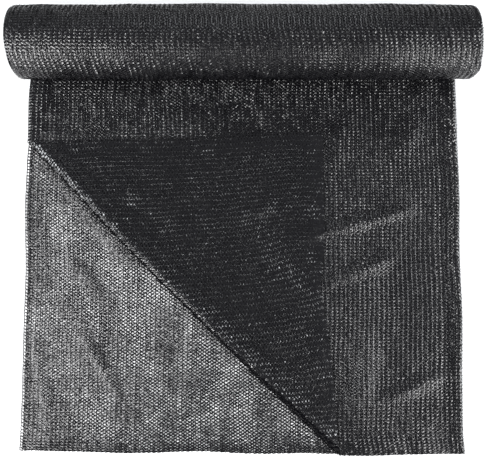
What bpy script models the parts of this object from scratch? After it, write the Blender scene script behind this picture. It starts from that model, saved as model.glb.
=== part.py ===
"""A roll of black knitted shade cloth with its loose end laid out on the floor.

The cloth is folded in half along its length, so every turn of the roll and all of the
loose end are two layers that meet in a soft fold on the right-hand side. One corner of
the loose end's upper layer is turned back over itself along a diagonal fold.

Frame: +X along the roll to the right, +Y from the free end towards the roll, +Z up.
The origin is on the floor under the middle of the whole. Lengths are in metres.
"""

import math
from collections import namedtuple

import bmesh
import bpy
from mathutils import Vector

# Cloth: 1.524 m wide, folded in half.
FOLDED_WIDTH = 0.762
LAYER = 0.0012
LAYER_GAP = 0.0006
LAYER_STEP = LAYER + LAYER_GAP
PIECE_GAP = 0.0003

# Roll: a spiral of the two layers, sunk a little where it bears on the floor.
ROLL_RADIUS = 0.064
ROLL_BULGE = 0.0009
ROLL_LENGTH = 0.784
TURN_PITCH = 2 * LAYER + LAYER_GAP + PIECE_GAP
FLAT_SPOT_SINK = 0.0011
ROLL_STEPS = 72
END_ROUNDING = 0.005
ROUNDING_STEPS = 3
EYE_RADIUS = 0.006
EYE_DEPTH = 0.014

# Loose end: measured from its free end to the line on which the roll bears.
LOOSE_LENGTH = 0.704
HALF_DEPTH = (LOOSE_LENGTH + ROLL_RADIUS + ROLL_BULGE - TURN_PITCH / 4) / 2
ROLL_LINE_Y = LOOSE_LENGTH - HALF_DEPTH

# The fold that joins the two layers along the right-hand side.
SIDE_FOLD_RADIUS = 0.0034
SIDE_FOLD_PRESSED = LAYER_STEP / 2
SIDE_FOLD_SETTLE = 0.028
PRESSED_AHEAD_OF_ROLL = 0.016
FREE_AHEAD_OF_ROLL = 0.060

# The diagonal fold: x + v is the same all along it, v being the distance from the free end.
DIAGONAL_SUM = 0.169
DIAGONAL_RADIUS_TOP = 0.0040
DIAGONAL_RADIUS_FOOT = 0.0028
DIAGONAL_SETTLE = 0.038
DIAGONAL_WAVE_REACH = 0.070
FLAP_SKEW = 0.055
FLAP_PULL_REACH = 0.220

# Meshing of the loose end.
LOWER_COLUMNS = 14
FOLD_COLUMNS = 6
UPPER_COLUMNS = 34
ROWS = 30
DIAGONAL_FOLD_STEPS = 5
WELD = 0.00001

Swell = namedtuple("Swell", "along extra_radius")
EdgePoint = namedtuple("EdgePoint", "distance offset")
Ridge = namedtuple("Ridge", "x0 v0 x1 v1 height width")

# Uneven winding: place along the roll as a share of its half length, and extra radius.
ROLL_SWELLS = (
    Swell(-1.00, -0.0008),
    Swell(-0.70, 0.0000),
    Swell(-0.15, ROLL_BULGE),
    Swell(0.30, 0.0001),
    Swell(0.65, 0.0004),
    Swell(1.00, -0.0008),
)

# How far each side lies outside the folded width's edge, by distance from the free end.
LEFT_SIDE = (
    EdgePoint(0.000, 0.0026),
    EdgePoint(0.035, 0.0004),
    EdgePoint(0.110, -0.0002),
    EdgePoint(0.200, 0.0018),
    EdgePoint(0.310, 0.0006),
    EdgePoint(0.410, 0.0034),
    EdgePoint(0.530, 0.0014),
    EdgePoint(0.620, 0.0032),
    EdgePoint(0.704, -0.0030),
)
RIGHT_SIDE = (
    EdgePoint(0.000, 0.0032),
    EdgePoint(0.035, -0.0030),
    EdgePoint(0.130, -0.0024),
    EdgePoint(0.230, 0.0002),
    EdgePoint(0.350, -0.0018),
    EdgePoint(0.450, 0.0002),
    EdgePoint(0.560, -0.0016),
    EdgePoint(0.640, -0.0022),
    EdgePoint(0.704, -0.0040),
)

# How far the cut free end falls short, by place across the cloth.
FREE_END = (
    EdgePoint(-0.370, 0.0080),
    EdgePoint(-0.310, 0.0066),
    EdgePoint(-0.190, 0.0035),
    EdgePoint(-0.076, 0.0082),
    EdgePoint(0.030, 0.0038),
    EdgePoint(0.210, 0.0000),
    EdgePoint(0.370, 0.0034),
)

# How far the diagonal fold strays from a straight line, by place along it.
DIAGONAL_WAVE = (
    EdgePoint(-0.115, -0.0020),
    EdgePoint(-0.014, -0.0049),
    EdgePoint(0.095, -0.0074),
    EdgePoint(0.206, -0.0086),
    EdgePoint(0.316, -0.0095),
    EdgePoint(0.430, -0.0083),
    EdgePoint(0.550, -0.0042),
    EdgePoint(0.660, -0.0030),
)

# How far the cut end of the flap is pulled along the diagonal, by distance from the fold.
FLAP_PULL = (
    EdgePoint(0.000, -0.0040),
    EdgePoint(0.040, -0.0020),
    EdgePoint(0.130, 0.0106),
    EdgePoint(0.185, 0.0225),
    EdgePoint(0.255, 0.0105),
    EdgePoint(0.376, 0.0000),
)

# Creases of the upper layer; the flap lies over them and has a few of its own.
UPPER_RIDGES = (
    Ridge(0.040, 0.366, 0.276, 0.402, 0.0062, 0.013),
    Ridge(0.100, 0.280, 0.246, 0.326, 0.0046, 0.014),
    Ridge(0.236, 0.092, 0.344, 0.138, 0.0048, 0.014),
    Ridge(0.262, 0.500, 0.322, 0.602, 0.0034, 0.018),
    Ridge(0.196, 0.030, 0.226, 0.230, 0.0030, 0.020),
    Ridge(0.150, 0.470, 0.180, 0.600, 0.0024, 0.018),
    Ridge(-0.200, 0.590, 0.050, 0.600, 0.0022, 0.020),
)
FLAP_RIDGES = (
    Ridge(-0.330, 0.520, -0.150, 0.515, 0.0026, 0.014),
    Ridge(-0.010, 0.400, 0.060, 0.440, 0.0030, 0.013),
    Ridge(-0.230, 0.440, -0.120, 0.330, 0.0028, 0.018),
    Ridge(0.020, 0.190, 0.110, 0.230, 0.0028, 0.016),
    Ridge(0.090, 0.090, 0.130, 0.150, 0.0022, 0.014),
)


def smoothstep(share):
    """0 below 0, 1 above 1, and a soft S between them."""
    share = min(max(share, 0.0), 1.0)
    return share * share * (3 - 2 * share)


def along_table(points, distance):
    """The offset at a distance, with soft turns at each row of the table."""
    if distance <= points[0].distance:
        return points[0].offset
    for near, far in zip(points, points[1:]):
        if distance <= far.distance:
            share = (distance - near.distance) / (far.distance - near.distance)
            return near.offset + (far.offset - near.offset) * smoothstep(share)
    return points[-1].offset


def cloth_material():
    """Black polyethylene yarn with a dull shine."""
    material = bpy.data.materials.new("knit_cloth")
    material.use_nodes = True
    shader = material.node_tree.nodes["Principled BSDF"]
    shader.inputs["Base Color"].default_value = (0.018, 0.018, 0.021, 1.0)
    shader.inputs["Roughness"].default_value = 0.48
    shader.inputs["Metallic"].default_value = 0.0
    return material


def make_object(name, mesh, material):
    """A smooth-shaded object that holds the mesh, with its origin at the frame's origin."""
    made = bpy.data.objects.new(name, mesh)
    mesh.materials.append(material)
    mesh.shade_smooth()
    mesh.set_sharp_from_angle(angle=math.radians(40))
    bpy.context.scene.collection.objects.link(made)
    return made


# ---------------------------------------------------------------- the roll


def swell_at(x):
    """Extra radius of the roll at a place along it."""
    share = x / (ROLL_LENGTH / 2)
    for near, far in zip(ROLL_SWELLS, ROLL_SWELLS[1:]):
        if share <= far.along:
            step = (share - near.along) / (far.along - near.along)
            return near.extra_radius + (far.extra_radius - near.extra_radius) * smoothstep(step)
    return ROLL_SWELLS[-1].extra_radius


def roll_section(x, pulled_in):
    """The spiral outline of the roll at x, from the floor round the back and over the top.

    The radius falls by one turn's pitch on the way round, which leaves a step under the
    roll that the loose end's two layers meet. pulled_in shrinks the outline at the ends.
    """
    points = []
    outer = ROLL_RADIUS + swell_at(x)
    centre_z = outer - FLAT_SPOT_SINK
    for step in range(ROLL_STEPS + 1):
        turn = step / ROLL_STEPS
        radius = outer - TURN_PITCH * turn - pulled_in
        y = ROLL_LINE_Y + radius * math.sin(2 * math.pi * turn)
        z = centre_z - radius * math.cos(2 * math.pi * turn)
        lowest = TURN_PITCH if turn > 0.5 else 0.0
        points.append(Vector((x, y, max(z, lowest))))
    return points


def end_sections(side):
    """(x, pulled_in) for the rounded rim at one end, from the barrel out to the end face."""
    rows = []
    for step in range(1, ROUNDING_STEPS + 1):
        angle = math.pi / 2 * step / ROUNDING_STEPS
        x = ROLL_LENGTH / 2 - END_ROUNDING * (1 - math.sin(angle))
        rows.append((side * x, END_ROUNDING * (1 - math.cos(angle))))
    return rows


def roll_stations():
    """(x, pulled_in) of every section, from the left end to the right end."""
    barrel = ROLL_LENGTH / 2 - END_ROUNDING
    shares = sorted({-1.0, 1.0, -0.45, 0.48} | {s.along for s in ROLL_SWELLS})
    body = [(share * barrel, 0.0) for share in shares]
    return end_sections(-1)[::-1] + body + end_sections(1)


def close_end(bm, rim, side):
    """An end face with the small eye that a roll without a core has at its middle."""
    face_x = side * ROLL_LENGTH / 2
    centre = Vector((face_x, ROLL_LINE_Y, ROLL_RADIUS - FLAT_SPOT_SINK))
    rings = [rim]
    for depth in (0.0, EYE_DEPTH):
        ring = []
        for vertex in rim:
            out = vertex.co - centre
            out.x = 0.0
            place = centre + out.normalized() * EYE_RADIUS
            place.x = face_x - side * depth
            ring.append(bm.verts.new(place))
        rings.append(ring)
    for outer, inner in zip(rings, rings[1:]):
        for i in range(len(rim)):
            j = (i + 1) % len(rim)
            bm.faces.new((outer[i], outer[j], inner[j], inner[i]))
    bm.faces.new(rings[-1])


def make_roll(material):
    """The wound cloth as one solid: its spiral outline lofted from end to end."""
    bm = bmesh.new()
    loops = [[bm.verts.new(p) for p in roll_section(x, pulled)] for x, pulled in roll_stations()]
    for left, right in zip(loops, loops[1:]):
        for i in range(len(left)):
            j = (i + 1) % len(left)
            bm.faces.new((left[i], left[j], right[j], right[i]))
    close_end(bm, loops[0], -1)
    close_end(bm, loops[-1], 1)
    bmesh.ops.remove_doubles(bm, verts=bm.verts, dist=WELD)
    bmesh.ops.dissolve_degenerate(bm, edges=bm.edges, dist=WELD)
    bmesh.ops.recalc_face_normals(bm, faces=bm.faces)
    mesh = bpy.data.meshes.new("roll")
    bm.to_mesh(mesh)
    bm.free()
    return make_object("roll", mesh, material)


# ---------------------------------------------------------------- the loose end


def left_x(v):
    """The left-hand side of both layers at a distance v from the free end."""
    return -FOLDED_WIDTH / 2 - along_table(LEFT_SIDE, v)


def right_x(v):
    """The outside of the right-hand fold at a distance v from the free end."""
    return FOLDED_WIDTH / 2 + along_table(RIGHT_SIDE, v)


def side_fold_radius(v):
    """The right-hand fold is round at the free end and pressed flat under the roll."""
    ahead = LOOSE_LENGTH - v
    span = FREE_AHEAD_OF_ROLL - PRESSED_AHEAD_OF_ROLL
    free = smoothstep((ahead - PRESSED_AHEAD_OF_ROLL) / span)
    return SIDE_FOLD_PRESSED + (SIDE_FOLD_RADIUS - SIDE_FOLD_PRESSED) * free


def ridge_height(ridges, x, v):
    """Height of a set of creases at a place: each has a round top and fading ends."""
    total = 0.0
    for r in ridges:
        run = Vector((r.x1 - r.x0, r.v1 - r.v0))
        to_point = Vector((x - r.x0, v - r.v0))
        share = to_point.dot(run) / run.length_squared
        across = abs(run.cross(to_point)) / run.length
        fade = smoothstep(2.5 * share) * smoothstep(2.5 * (1 - share))
        total += r.height * fade * math.exp(-((across / r.width) ** 2))
    return total


def upper_height(x, v):
    """Mid height of the upper layer: the lower one, a gap, the creases and the side fold."""
    fold_radius = side_fold_radius(v)
    flat = LAYER / 2 + LAYER_STEP
    over_fold = 2 * fold_radius - LAYER_STEP
    from_fold = right_x(v) - fold_radius - x
    settle = 1 - smoothstep(from_fold / SIDE_FOLD_SETTLE)
    clear_of_roll = smoothstep((LOOSE_LENGTH - v - PRESSED_AHEAD_OF_ROLL) / FREE_AHEAD_OF_ROLL)
    return flat + over_fold * settle + clear_of_roll * ridge_height(UPPER_RIDGES, x, v)


def diagonal_radius(v):
    """The diagonal fold is rounder near the roll and tighter at its foot."""
    share = v / (DIAGONAL_SUM + FOLDED_WIDTH / 2)
    return DIAGONAL_RADIUS_FOOT + (DIAGONAL_RADIUS_TOP - DIAGONAL_RADIUS_FOOT) * share


def past_diagonal(x, v):
    """How far a point of the flat upper layer lies past the diagonal, into the corner."""
    return (DIAGONAL_SUM - x - v) / math.sqrt(2)


def fold_corner(x, v):
    """Where a point of the flat upper layer lies once the corner is turned back."""
    past = past_diagonal(x, v)
    if past <= 0:
        return x, v, upper_height(x, v)
    foot_x = x + past / math.sqrt(2)
    foot_v = v + past / math.sqrt(2)
    radius = diagonal_radius(foot_v)
    bend = math.pi * radius
    if past < bend:
        angle = past / radius
        out = radius * math.sin(angle) / math.sqrt(2)
        rise = radius * (1 - math.cos(angle))
        return foot_x - out, foot_v - out, upper_height(foot_x, foot_v) + rise
    back = past - bend
    pull = along_table(FLAP_PULL, back) * (1 - smoothstep(v / FLAP_PULL_REACH))
    slide = FLAP_SKEW * back + pull
    flap_x = foot_x + (back - slide) / math.sqrt(2)
    flap_v = foot_v + (back + slide) / math.sqrt(2)
    settled = smoothstep(back / DIAGONAL_SETTLE)
    lift = 2 * radius + (LAYER_STEP - 2 * radius) * settled
    creases = ridge_height(FLAP_RIDGES, flap_x, flap_v) * settled
    return flap_x, flap_v, upper_height(flap_x, flap_v) + lift + creases


def place_upper(x, v):
    """The folded place of a point of the upper layer, with the fold's line slightly wavy."""
    placed_x, placed_v, z = fold_corner(x, v)
    from_fold = past_diagonal(placed_x, placed_v)
    along = (placed_v - placed_x) / math.sqrt(2)
    near_fold = math.exp(-((from_fold / DIAGONAL_WAVE_REACH) ** 2))
    shift = along_table(DIAGONAL_WAVE, along) * near_fold / math.sqrt(2)
    return placed_x + shift, placed_v + shift, z


def v_of_row(row, x):
    """Distance of a grid row from the free end, which isn't quite straight."""
    even = (LOOSE_LENGTH - PIECE_GAP) * row / ROWS
    short = along_table(FREE_END, x)
    return even + short * (1 - row / ROWS)


def lower_columns(v):
    """(x, z) across the lower layer and round the right-hand fold, from left to right."""
    fold_radius = side_fold_radius(v)
    turn_x = right_x(v) - fold_radius
    start = left_x(v)
    columns = []
    for step in range(LOWER_COLUMNS + 1):
        columns.append((start + (turn_x - start) * step / LOWER_COLUMNS, LAYER / 2))
    for step in range(1, FOLD_COLUMNS + 1):
        angle = math.pi * step / FOLD_COLUMNS
        x = turn_x + fold_radius * math.sin(angle)
        columns.append((x, LAYER / 2 + fold_radius * (1 - math.cos(angle))))
    return columns


def grid_faces(bm, rows):
    """Quads between neighbouring rows of vertices."""
    made = []
    for near, far in zip(rows, rows[1:]):
        for i in range(len(near) - 1):
            made.append(bm.faces.new((near[i], near[i + 1], far[i + 1], far[i])))
    return made


def add_lower_layer(bm):
    """The lower layer and the side fold, in place."""
    rows = []
    for row in range(ROWS + 1):
        verts = []
        for x, z in lower_columns(v_of_row(row, FOLDED_WIDTH / 2)):
            verts.append(bm.verts.new((x, v_of_row(row, x) - HALF_DEPTH, z)))
        rows.append(verts)
    grid_faces(bm, rows)


def add_upper_layer(bm):
    """The upper layer, cut flat along lines that follow the diagonal and then folded."""
    flat = bmesh.new()
    rows = []
    for row in range(ROWS + 1):
        side_v = v_of_row(row, FOLDED_WIDTH / 2)
        end_x = left_x(side_v)
        start_x = right_x(side_v) - side_fold_radius(side_v)
        verts = []
        for step in range(UPPER_COLUMNS + 1):
            x = start_x + (end_x - start_x) * step / UPPER_COLUMNS
            verts.append(flat.verts.new((x, v_of_row(row, x), 0.0)))
        rows.append(verts)
    grid_faces(flat, rows)
    mean_bend = math.pi * (DIAGONAL_RADIUS_TOP + DIAGONAL_RADIUS_FOOT) / 2
    bends = [mean_bend * step / DIAGONAL_FOLD_STEPS for step in range(DIAGONAL_FOLD_STEPS + 1)]
    for past in bends + [mean_bend + DIAGONAL_SETTLE / 2]:
        on_line = (DIAGONAL_SUM / 2 - past / math.sqrt(2),) * 2 + (0.0,)
        everything = flat.verts[:] + flat.edges[:] + flat.faces[:]
        bmesh.ops.bisect_plane(flat, geom=everything, dist=WELD, plane_co=on_line, plane_no=(1, 1, 0))
    bmesh.ops.remove_doubles(flat, verts=flat.verts, dist=0.0004)
    copies = {}
    for vertex in flat.verts:
        x, v, z = place_upper(vertex.co.x, vertex.co.y)
        copies[vertex] = bm.verts.new((x, v - HALF_DEPTH, z))
    for face in flat.faces:
        bm.faces.new([copies[vertex] for vertex in face.verts])
    flat.free()


def make_loose_end(material):
    """The two layers with their side fold and turned-back corner, as one thick sheet."""
    bm = bmesh.new()
    add_lower_layer(bm)
    add_upper_layer(bm)
    bmesh.ops.remove_doubles(bm, verts=bm.verts, dist=WELD)
    bmesh.ops.recalc_face_normals(bm, faces=bm.faces)
    mesh = bpy.data.meshes.new("loose_end")
    bm.to_mesh(mesh)
    bm.free()
    made = make_object("loose_end", mesh, material)
    thickness = made.modifiers.new("layer thickness", "SOLIDIFY")
    thickness.thickness = LAYER
    thickness.offset = 0.0
    thickness.use_even_offset = True
    return made


def main():
    for old in list(bpy.data.objects):
        bpy.data.objects.remove(old)
    material = cloth_material()
    make_roll(material)
    make_loose_end(material)


main()
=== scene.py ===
"""Looks of a black knitted shade cloth: folded in half, rolled up, its loose end laid out.

Every strip of yarn that shows is a surface of its own. Chain-stitch ribs run along the
cloth, and a zigzag of flat tape joins each rib to the next, which leaves rows of small
three-cornered holes. Strips are worked out in cloth coordinates and then carried to
where the cloth lies: u runs across the cloth, from the lower layer's selvedge over the
side fold to the upper layer's selvedge, and v runs along it from the cut end, under the
roll and round it. The frame is that of the solids: +X along the roll, +Y from the cut
end towards the roll, +Z up, in metres.
"""

from __future__ import annotations

import logging
import math
from collections.abc import Callable, Iterable
from dataclasses import dataclass, field
from enum import Enum

import bpy
import numpy as np
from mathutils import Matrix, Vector

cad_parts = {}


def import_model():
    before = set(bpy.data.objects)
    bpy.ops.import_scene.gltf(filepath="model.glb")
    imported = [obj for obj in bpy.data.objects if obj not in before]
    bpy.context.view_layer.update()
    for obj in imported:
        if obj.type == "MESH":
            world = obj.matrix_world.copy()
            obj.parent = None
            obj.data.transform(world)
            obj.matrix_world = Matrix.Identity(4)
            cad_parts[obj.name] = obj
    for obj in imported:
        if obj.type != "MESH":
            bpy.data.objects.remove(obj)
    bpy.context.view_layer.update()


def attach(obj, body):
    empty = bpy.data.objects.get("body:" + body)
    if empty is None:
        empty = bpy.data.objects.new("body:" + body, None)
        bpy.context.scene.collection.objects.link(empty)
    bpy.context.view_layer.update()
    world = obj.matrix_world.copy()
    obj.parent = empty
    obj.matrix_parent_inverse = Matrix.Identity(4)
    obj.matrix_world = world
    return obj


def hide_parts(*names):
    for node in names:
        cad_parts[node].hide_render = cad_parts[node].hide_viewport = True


Array = np.ndarray
Triple = tuple[float, float, float]
Table = tuple[tuple[float, float], ...]
log = logging.getLogger("shade_cloth")

ROOT_TWO = math.sqrt(2)
CLOTH_WIDTH = 1.524
DAYLIGHT = (0.945, 0.970, 1.0)
LAMPLIGHT = (0.985, 0.980, 0.982)


# ---------------------------------------------------------------- small maths


def smoothstep(share: Array) -> Array:
    """0 below 0, 1 above 1, and the soft S of 3s² - 2s³ between them."""
    share = np.clip(share, 0.0, 1.0)
    return share * share * (3 - 2 * share)


def along_table(rows: Table, at: Array) -> Array:
    """Reads a short table with soft turns at each row, and level ends.

    Args:
        rows: pairs of place and value, in rising order of place.
        at: the places to read.

    Returns:
        The value at each place.
    """
    places, values = np.array(rows).T
    low = np.clip(np.searchsorted(places, at, side="right") - 1, 0, len(places) - 2)
    share = (at - places[low]) / (places[low + 1] - places[low])
    return values[low] + (values[low + 1] - values[low]) * smoothstep(share)


@dataclass(frozen=True)
class Ripple:
    """A smooth uneven field over a plane: a sum of plane waves of seeded length and heading."""

    seed: int
    size: float
    shortest: float
    longest: float
    waves: int = 9

    def at(self, x: Array, y: Array) -> Array:
        """The field's value, with a root-mean-square of about its size.

        Args:
            x: first coordinate in metres.
            y: second coordinate in metres.

        Returns:
            The sum of the sines of the waves' phases at each point, scaled.
        """
        rng = np.random.default_rng(self.seed)
        lengths = np.exp(rng.uniform(math.log(self.shortest), math.log(self.longest), self.waves))
        headings = rng.uniform(0, 2 * math.pi, self.waves)
        phases = rng.uniform(0, 2 * math.pi, self.waves)
        weights = lengths / np.sqrt((lengths**2).sum() / 2)
        total = np.zeros(np.broadcast(x, y).shape)
        for length, heading, phase, weight in zip(lengths, headings, phases, weights):
            run = x * math.cos(heading) + y * math.sin(heading)
            total += weight * np.sin(2 * math.pi * run / length + phase)
        return self.size * total


@dataclass(frozen=True)
class Ridge:
    """A crease between two points: a round top of a given height and width, fading at its ends.

    It also marks a patch of the knit, and its height is then the strength of what is done there.
    """

    x0: float
    v0: float
    x1: float
    v1: float
    height: float
    width: float
    steepness: float = 2.5

    def at(self, x: Array, v: Array) -> Array:
        """Height of the crease: a bell curve across it times an eased rise at each end.

        Args:
            x: place across.
            v: distance from the cut end.

        Returns:
            The height at each point.
        """
        run_x, run_v = self.x1 - self.x0, self.v1 - self.v0
        span = math.hypot(run_x, run_v)
        share = ((x - self.x0) * run_x + (v - self.v0) * run_v) / span**2
        across = ((x - self.x0) * run_v - (v - self.v0) * run_x) / span
        fade = smoothstep(self.steepness * share) * smoothstep(self.steepness * (1 - share))
        return self.height * fade * np.exp(-((across / self.width) ** 2))


def total_at(ridges: tuple[Ridge, ...], x: Array, v: Array) -> Array:
    """The sum of several ridges at each point."""
    return sum(ridge.at(x, v) for ridge in ridges)


def joined(arrays: Iterable[Array]) -> Array:
    """All the values of several arrays, one after another."""
    return np.concatenate([array.reshape(-1) for array in arrays])


def grid_quads(number: Array, turned: bool = False) -> Array:
    """Corner numbers of the quads between neighbouring points of grids.

    Args:
        number: the points' numbers, whose last two axes are a grid's.
        turned: whether the quads go round the other way.

    Returns:
        Four numbers to a quad, its lowest corner first.
    """
    low, high = number[..., :-1, :], number[..., 1:, :]
    corners = [low[..., :-1], low[..., 1:], high[..., 1:], high[..., :-1]]
    if turned:
        corners = [corners[0], corners[3], corners[2], corners[1]]
    return np.stack([corner.reshape(-1) for corner in corners], axis=-1)


# ---------------------------------------------------------------- how the cloth lies


@dataclass
class LooseEnd:
    """The lie of the loose end: two layers, their side fold and the turned-back corner.

    The tables pair a place along a side, the cut end or the diagonal fold with an offset,
    a slope, a height or a width there. The half depth is that of the solids' box, whose
    middle is the frame's origin.
    """

    folded_width: float = CLOTH_WIDTH / 2
    length: float = 0.704
    half_depth: float = 0.3840375
    lower_mid: float = 0.0006
    layer_step: float = 0.0018
    left_side: Table = (
        (0.000, 0.0038), (0.035, 0.0026), (0.110, 0.0016), (0.200, 0.0018), (0.310, 0.0006),
        (0.420, 0.0044), (0.500, 0.0030), (0.560, -0.0002), (0.620, 0.0008), (0.704, -0.0034),
    )  # fmt: skip
    right_side: Table = (
        (0.000, -0.0008), (0.035, -0.0030), (0.130, -0.0024), (0.230, 0.0002), (0.350, -0.0018),
        (0.450, 0.0002), (0.560, -0.0016), (0.640, -0.0022), (0.704, -0.0040),
    )  # fmt: skip
    cut_end: Table = (
        (-0.370, 0.0080), (-0.310, 0.0066), (-0.190, 0.0035), (-0.076, 0.0066),
        (0.030, 0.0022), (0.100, 0.0036), (0.210, 0.0012), (0.370, 0.0034),
    )  # fmt: skip
    side_fold_radius: float = 0.0034
    side_fold_settle: float = 0.028
    end_flattening: float = 0.52
    end_reach: float = 0.340
    crease_end: float = 0.050
    pressed_ahead: float = 0.016
    free_ahead: float = 0.060
    diagonal_sum: float = 0.169
    diagonal_top: float = 0.0030
    diagonal_foot: float = 0.0016
    diagonal_settle: float = 0.042
    puff_slope: Table = (
        (0.00, 0.35), (0.16, 0.35), (0.34, 0.40), (0.50, 0.42), (1.00, 0.38),
    )  # fmt: skip
    puff_crest: Table = (
        (0.00, 0.0040), (0.16, 0.0040), (0.34, 0.0050), (0.50, 0.0075), (1.00, 0.0080),
    )  # fmt: skip
    puff_fall: float = 0.036
    crest_round: float = 0.0012
    diagonal_wave: Table = (
        (-0.115, -0.0020), (-0.014, -0.0049), (0.095, -0.0074), (0.206, -0.0086),
        (0.316, -0.0095), (0.430, -0.0083), (0.550, -0.0042), (0.660, -0.0030),
    )  # fmt: skip
    wave_reach: float = 0.070
    # how far the band of painted shade along the diagonal fold reaches past it, by place along the fold
    shade_band_reach: Table = (
        (0.00, 0.0140), (0.12, 0.0135), (0.28, 0.0108), (0.42, 0.0098), (0.60, 0.0088),
        (1.00, 0.0086),
    )  # fmt: skip
    shade_band_before: float = 0.002
    flap_skew: float = 0.055
    skew_start: float = 0.012
    flap_pull: Table = (
        (0.000, -0.0040), (0.040, -0.0020), (0.130, 0.0106), (0.185, 0.0225), (0.255, 0.0105),
        (0.376, 0.0000),
    )  # fmt: skip
    pull_reach: float = 0.220
    upper_ridges: tuple[Ridge, ...] = (
        Ridge(0.085, 0.368, 0.325, 0.432, 0.0062, 0.011),
        Ridge(0.110, 0.283, 0.285, 0.345, 0.0048, 0.012),
        Ridge(0.200, 0.078, 0.380, 0.150, 0.0036, 0.013),
        Ridge(0.262, 0.500, 0.322, 0.602, 0.0024, 0.018),
        Ridge(0.196, 0.030, 0.226, 0.230, 0.0030, 0.020),
        Ridge(0.150, 0.470, 0.180, 0.600, 0.0024, 0.018),
        Ridge(-0.200, 0.590, 0.050, 0.600, 0.0022, 0.020),
    )
    flap_ridges: tuple[Ridge, ...] = (
        Ridge(-0.330, 0.520, -0.150, 0.515, 0.0014, 0.014),
        Ridge(-0.010, 0.400, 0.060, 0.440, 0.0030, 0.013),
        Ridge(-0.230, 0.440, -0.120, 0.330, 0.0018, 0.018),
        Ridge(0.020, 0.190, 0.110, 0.230, 0.0016, 0.016),
    )
    lower_ridges: tuple[Ridge, ...] = (
        Ridge(-0.300, 0.240, -0.200, 0.075, 0.0026, 0.009),
        Ridge(-0.335, 0.490, -0.180, 0.310, 0.0024, 0.010),
        Ridge(-0.310, 0.345, -0.235, 0.262, 0.0024, 0.011),
        Ridge(-0.366, 0.220, -0.332, 0.030, 0.0020, 0.009),
    )
    crowding: float = 0.012
    crowding_run: float = 0.12
    ground: Ripple = Ripple(seed=11, size=0.0005, shortest=0.050, longest=0.240)

    def left_x(self, v: Array) -> Array:
        """The left-hand side of the cloth at a distance v from the cut end."""
        return -self.folded_width / 2 - along_table(self.left_side, v)

    def right_x(self, v: Array) -> Array:
        """The outside of the side fold at a distance v from the cut end."""
        return self.folded_width / 2 + along_table(self.right_side, v)

    def fold_radius(self, v: Array) -> Array:
        """The side fold's radius: full in the middle, flatter at the cut end and by the roll.

        Args:
            v: distance from the cut end.

        Returns:
            The radius at each distance.
        """
        free = (self.length - v - self.pressed_ahead) / (self.free_ahead - self.pressed_ahead)
        pressed = self.layer_step / 2
        flatter = 1 - self.end_flattening * (1 - smoothstep(v / self.end_reach))
        return pressed + (self.side_fold_radius * flatter - pressed) * smoothstep(free)

    def under_height(self, x: Array, v: Array) -> Array:
        """How far the lower layer lies off the floor, over its lowest: soft swells and creases.

        Args:
            x: place across.
            v: distance from the cut end.

        Returns:
            The height at each point, none close to the roll.
        """
        clear = smoothstep((self.length - v) / self.crease_end)
        creases = total_at(self.lower_ridges, x, v)
        return clear * (np.abs(self.ground.at(x, v)) + creases)

    def upper_height(self, x: Array, v: Array) -> Array:
        """Mid height of the upper layer: lower layer, gap, settling side fold and creases.

        Args:
            x: place across.
            v: distance from the cut end.

        Returns:
            The height at each point.
        """
        radius = self.fold_radius(v)
        from_fold = self.right_x(v) - radius - x
        settle = 1 - smoothstep(from_fold / self.side_fold_settle)
        clear = smoothstep((self.length - v - self.pressed_ahead) / self.free_ahead)
        creases = total_at(self.upper_ridges, x, v)
        flat = self.lower_mid + self.layer_step + self.under_height(x, v)
        return flat + (2 * radius - self.layer_step) * settle + clear * creases

    def past_diagonal(self, x: Array, v: Array) -> Array:
        """How far a flat point lies past the diagonal fold, into the corner that turns back."""
        return (self.diagonal_sum - x - v) / ROOT_TWO

    def turn_corner(self, x: Array, v: Array) -> tuple[Array, Array, Array]:
        """Folds the flat upper layer back along the diagonal.

        A point past the fold goes round a half circle whose radius grows towards the roll,
        and what is left of its distance runs back over the layer, skewed a little, with
        the cut edge pulled along the fold. It is puffed along the fold: it climbs evenly
        to a tight crest, more steeply at the end away from the roll, and then settles.

        Args:
            x: place across, on the flat layer.
            v: distance from the cut end, on the flat layer.

        Returns:
            x, v and height of each point where it lies.
        """
        past = np.maximum(self.past_diagonal(x, v), 0.0)
        foot_x, foot_v = x + past / ROOT_TWO, v + past / ROOT_TWO
        share = foot_v / (self.diagonal_sum + self.folded_width / 2)
        radius = self.diagonal_foot + (self.diagonal_top - self.diagonal_foot) * share
        angle = np.minimum(past / radius, math.pi)
        out = radius * np.sin(angle)
        rise = radius * (1 - np.cos(angle))
        back = np.maximum(past - math.pi * radius, 0.0)
        pull = along_table(self.flap_pull, back) * (1 - smoothstep(v / self.pull_reach))
        pull = pull * smoothstep(back / self.skew_start)
        slide = np.where(back > 0, self.flap_skew * back + pull, 0.0)
        new_x = foot_x + (back - out - slide) / ROOT_TWO
        new_v = foot_v + (back - out + slide) / ROOT_TWO
        settled = smoothstep(back / self.diagonal_settle)
        slope, crest = along_table(self.puff_slope, share), along_table(self.puff_crest, share)
        beyond = self.crest_round * np.logaddexp(0.0, (back - crest) / self.crest_round)
        fall = 1 - smoothstep((back - crest) / self.puff_fall)
        puff = slope * (back - beyond) * fall
        lift = rise + (self.layer_step - 2 * radius) * settled + puff
        creases = total_at(self.flap_ridges, new_x, new_v) * settled
        under = np.where(back > 0, self.upper_height(new_x, new_v), self.upper_height(foot_x, foot_v))
        return new_x, new_v, under + lift + creases

    def wave_diagonal(self, x: Array, v: Array) -> tuple[Array, Array]:
        """Shifts what lies near the diagonal fold so that its line wavers.

        Args:
            x: place across.
            v: distance from the cut end.

        Returns:
            Both coordinates, moved square to the fold by a table along it, times a bell
            curve of the distance from the fold.
        """
        near = np.exp(-((self.past_diagonal(x, v) / self.wave_reach) ** 2))
        shift = along_table(self.diagonal_wave, (v - x) / ROOT_TWO) * near / ROOT_TWO
        return x + shift, v + shift

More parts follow.
